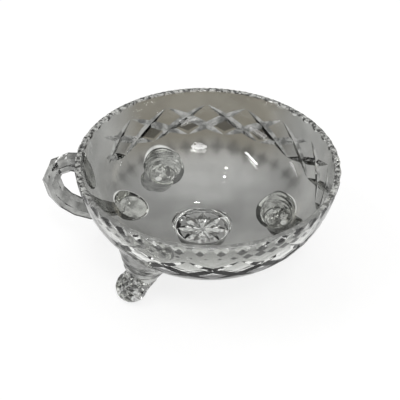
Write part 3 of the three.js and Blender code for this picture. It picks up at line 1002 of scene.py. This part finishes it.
def handle_bar():
    """Eight corners at each station, in the plane across the path: half thickness and half width, corners
    cut."""
    middle = handle_place(*stations[:, :3].T)
    ahead = np.diff(middle, axis=0)
    ahead = np.concatenate([ahead[:1], ahead[:-1] + ahead[1:], ahead[-1:]])
    ahead = ahead / np.linalg.norm(ahead, axis=1, keepdims=True)
    outer = np.cross(handle_across, ahead)
    t, w, c = stations[:, 3] / 2, stations[:, 4] / 2, handle_corner
    thick = np.stack([t, t - c, c - t, -t, -t, c - t, t - c, t], -1)
    wide = np.stack([w - c, w, w, w - c, c - w, -w, -w, c - w], -1)
    corners = middle[:, None] + (outer[:, None] * thick[..., None] + handle_across * wide[..., None]) * mm
    return piece_from("crystal_handle", [tube(corners, middle[[0, -1]])], HANDLE)


handle = handle_bar()
facing_out(handle)

# %% Handle's pad and seal
tail_radius, tail_thickness, tail_edge = 11.4 * mm, 4.6 * mm, 2.4 * mm
tail_centre = handle_place(-29.6, 52, 6.4)
seal_depth = 17.6 * mm
seal_half_width, seal_half_height, seal_thickness = 8.4 * mm, 11.4 * mm, 3 * mm
round_segments, seal_rows, edge_rows = 64, 17, 7


def ball_profile(radius, rows):
    """A half circle from pole to pole."""
    arc = np.linspace(-np.pi / 2, np.pi / 2, rows)
    profile = radius * np.stack([np.cos(arc), np.sin(arc)], -1)
    profile[[0, -1], 0] = 0
    return profile


edge = np.linspace(0, np.pi / 2, edge_rows)
tail_profile = np.concatenate([
    [[0, -tail_thickness / 2]],
    np.stack([tail_radius - tail_edge + tail_edge * np.sin(edge), -tail_thickness / 2 * np.cos(edge)], -1),
    [[tail_radius, tail_thickness * 2], [0, tail_thickness * 2]],
])
tail_base = np.array([*upright[:3], tail_centre])
combine(handle, turned("tail", tail_profile, round_segments, tail_base, FOOT), "UNION")
seal_point, seal_normal = (v[0] for v in on_wall([handle_angle], seal_depth))
seal_up = np.cross(seal_normal, handle_across)
seal_base = np.array([
    handle_across * seal_half_width, seal_up * seal_half_height, seal_normal * seal_thickness, seal_point,
])
seal = turned("seal", ball_profile(1.0, seal_rows), round_segments, seal_base, FOOT)
facing_out(seal)
combine(handle, seal, "UNION")
combine(handle, seat(), "DIFFERENCE")
dress(handle, sharp=18)

# %% [markdown]
# Feet
# Each foot is one gather of glass: a cone spread on the underside of the bowl, nipped to a collar, and then
# drawn out into a short toe with a ball end. The outer face of the ball is starred. A toe, a knee, a cone
# and its lip are turned, joined, cut to the seat, and then ground flat and cut as the real ones are.

# %% Foot sizes
ball_radius, foot_flat = 9.9 * mm, 0.4 * mm
waist_radius, knee_radius, collar_radius = 9.7 * mm, 9.6 * mm, 10.4 * mm
collar_height = 15.6 * mm
toe_segments, knee_rows = 48, 33


def axes_along(towards, origin):
    """Rows of a frame whose third axis runs along a direction, with the origin as its fourth row."""
    third = towards / np.linalg.norm(towards)
    first = np.cross([0, 1, 0] if abs(third[1]) < 0.9 else [1, 0, 0], third)
    first = first / np.linalg.norm(first)
    return np.array([first, np.cross(third, first), third, origin])


def roughen(piece, amount, seed):
    """Tool marks: every vertex moves by its own small random step, so that the glass glints unevenly."""
    points = corners_of(piece.data).ravel()
    steps = np.random.default_rng(seed).uniform(-amount, amount, len(points))
    piece.data.vertices.foreach_set("co", points + steps)
    return piece


# %% [markdown]
# Toe
# The toe is the ball and a neck that draws in to a waist. Nippers leave small flats on it. Some faces are
# painted near black, painted shade for flats that mirror the dark room, and some are mirrors for a lamp.

# %% Toe
dark_chance, bright_chance = 0.14, 0.16
ball_arc_end, waist_pull = 0.35, 0.6
arc_rows, neck_rows = 22, 9


def toe_piece(name, ball_centre, collar_centre):
    """The ball's arc from its pole, and a neck whose radius goes evenly to the knee's, less a sine for the
    waist. A random share of the faces is painted near black, as painted shade, and another one is a mirror."""
    toe = collar_centre - ball_centre
    length = np.linalg.norm(toe)
    arc = np.linspace(-np.pi / 2, ball_arc_end, arc_rows)
    ball_side = ball_radius * np.stack([np.cos(arc), np.sin(arc)], -1)
    ball_side[0, 0] = 0
    start = ball_side[-1]
    share = np.linspace(0, 1, neck_rows)[1:]
    waist = (ball_radius - waist_radius) * waist_pull * np.sin(np.pi * share)
    neck = np.stack([
        start[0] + (knee_radius - start[0]) * share - waist, start[1] + (length - start[1]) * share,
    ], -1)
    profile = np.concatenate([ball_side, neck, [[0, length]]])
    glass = np.full((len(profile) - 1, toe_segments), FOOT)
    chance = np.random.default_rng(11).uniform(0, 1, glass.shape)
    # Painted shade: a random share of the faces is near black; another share is a mirror.
    glass[chance < dark_chance] = SHADED
    glass[chance > 1 - bright_chance] = GLINT
    return turned(name, profile, toe_segments, axes_along(toe, ball_centre), glass)


# %% [markdown]
# Cone and lip
# The cone leans from the collar out to its root on the wall. Turning it in the tool leaves faint rings. At
# the nipped collar a band is painted near black, as painted shade in the crease, and a mirror band beside it
# shows as a bright line. The hot glass spreads in a thin rough lip on the wall.

# %% Cone
cone_rings, ring_depth, cone_rows = 2.5, 0.25 * mm, 46
cone_past, cone_top, cone_foot = 1.5, 45 * mm, -0.9 * mm
edge_inset, edge_height = np.array([1.2, 0.35]) * mm, np.array([-0.9, -0.55]) * mm
collar_dark, collar_bright = slice(2, 4), 4


def cone_piece(out, around, collar_centre, lean, height, wide, long):
    """An oval cone: both radii go evenly from the collar's to the root's and on past it, and a sine of the
    height lays rings on them. Its edge at the collar is rounded."""
    share = np.linspace(0, cone_past, cone_rows)
    wave = ring_depth * np.sin(2 * np.pi * cone_rings * share) * np.minimum(1, 3 * share)
    rise = np.stack([
        collar_radius + (wide - collar_radius) * share + wave, height * share,
        collar_radius + (long - collar_radius) * share + wave,
    ], -1)
    edge = collar_radius - edge_inset
    rounding = np.stack([edge, edge_height, edge], -1)
    top = np.array([[rise[-1, 0], cone_top, rise[-1, 2]], [0, cone_top, 0]])
    profile = np.concatenate([[[0, cone_foot, 0]], rounding, rise, top])
    glass = np.full(len(profile) - 1, FOOT)
    # Painted shade in the crease: near-black rows at the collar, and a mirror row beside them.
    glass[collar_dark], glass[collar_bright] = SHADED, GLINT
    return turned("cone", profile, round_segments, np.array([around, -out, lean, collar_centre]), glass)


# %% Lip
lip_bright = slice(-3, -1)
lip_width, lip_height, lip_edge, lip_root = 0.3 * mm, 0.4 * mm, 1.8 * mm, -4 * mm
lip_roughness, lip_rows = 0.10 * mm, 8


def lip_piece(angle, depth, around, wide, long, dark):
    """An oval disc on the wall with a rounded edge, bright on its shoulder, where it is a mirror, and painted
    near black between two angles in plan: painted shade for the dark room that it would mirror."""
    point, normal = (v[0] for v in on_wall([angle], depth))
    edge = np.linspace(0, np.pi / 2, lip_rows)
    inset = lip_edge * (np.sin(edge) - 1)
    height = lip_height - lip_edge + lip_edge * np.cos(edge)
    wide, long = wide + lip_width, long / -normal[2] + lip_width
    profile = np.stack([wide + inset, height, long + inset], -1)[::-1]
    profile = np.concatenate([[[0, lip_root, 0], [wide, lip_root, long]], profile, [[0, lip_height, 0]]])
    glass = np.full((len(profile) - 1, round_segments), INNER)
    glass[lip_bright] = GLINT
    in_plan = angle + 90 - np.arange(round_segments) * 360 / round_segments
    # Painted shade: the lip is near black between the two angles, for the dark room that it would mirror.
    glass[:, (in_plan - dark[0]) % 360 < dark[1] - dark[0]] = SHADED
    lip_base = np.array([around, np.cross(normal, around), normal, point])
    return roughen(turned("lip", profile, round_segments, lip_base, glass), lip_roughness, 5)


# %% [markdown]
# Star of the ball
# The ball's outer face looks up and outwards and carries a star of ten grooves, which run round the ball.

# %% Ball star
ball_rays, ball_ray_depth, ball_stations = 10, 2.1 * mm, 17
star_start, star_turn = radians(1.5), radians(78)
face_height = 36


def ball_star(centre, facing):
    """Grooves that run over the ball from the middle of its outer face, each along a circle through that
    middle: the point at turn t is centre + radius (facing cos t + along sin t), and its normal is that
    direction."""
    first, second = axes_along(facing, centre)[:2]
    share = np.linspace(0, 1, ball_stations)
    turn = star_start + (star_turn - star_start) * share
    made = []
    for ray in range(ball_rays):
        angle = 2 * np.pi * ray / ball_rays
        along = first * np.cos(angle) + second * np.sin(angle)
        normals = np.outer(np.cos(turn), facing) + np.outer(np.sin(turn), along)
        ahead = np.outer(np.cos(turn), along) - np.outer(np.sin(turn), facing)
        made.append(wedge(centre + normals * ball_radius, normals, ahead, lens_depth(share, ball_ray_depth)))
    return made


# %% Feet
table = np.array([[0, -20], [30, -20], [30, 0], [0, 0]]) * mm


def make_foot(name, angle, root, spread, deep, collar, ball, face, dark):
    """Toe, knee, cone and lip of one foot, joined and cut to the seat, then ground on the table and
    starred. Distances are out from the bowl's axis, in millimetres."""
    out = np.array([*direction(angle), 0])
    around = np.cross(up, out)
    ball_centre = bowl_axis + out * ball * mm + up * (ball_radius - foot_flat)
    collar_centre = bowl_axis + out * collar * mm + up * collar_height
    height = curve(outer_handles, share_at_radius(root * mm))[1] - collar_height
    lean = up - out * (collar - root) * mm / height
    made = toe_piece("crystal_" + name, ball_centre, collar_centre)
    knee = ball_profile(knee_radius, knee_rows)
    combine(made, turned("knee", knee, toe_segments, axes_along(up, collar_centre), FOOT), "UNION")
    combine(made, cone_piece(out, around, collar_centre, lean, height, spread * mm, deep * mm), "UNION")
    depth = rim_height - collar_height - height
    combine(made, lip_piece(angle, depth, around, spread * mm, deep * mm, dark), "UNION")
    combine(made, seat(), "DIFFERENCE")
    under = axes_along(up, bowl_axis + out * ball * mm)
    combine(made, turned("table", table, toe_segments, under, FOOT), "DIFFERENCE")
    flat, rise = direction(face_height)
    facing = np.array([*direction(face), 0]) * flat + up * rise
    cut_star(made, ball_star(ball_centre, facing), FOOT_CUT)
    facing_out(made)
    dress(made, sharp=24)
    return made


foot_pieces = {node: make_foot(node, **sizes) for node, sizes in feet.items()}

# %% [markdown]
# Riding and replacing
# Nothing on the dish moves, so every piece rides on its one body. Each piece stands for its imported solid.

# %% Frame calls
dressed = {"bowl": bowl, "handle": handle, **foot_pieces}
for node, piece in dressed.items():
    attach(piece, "root")
    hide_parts(node)
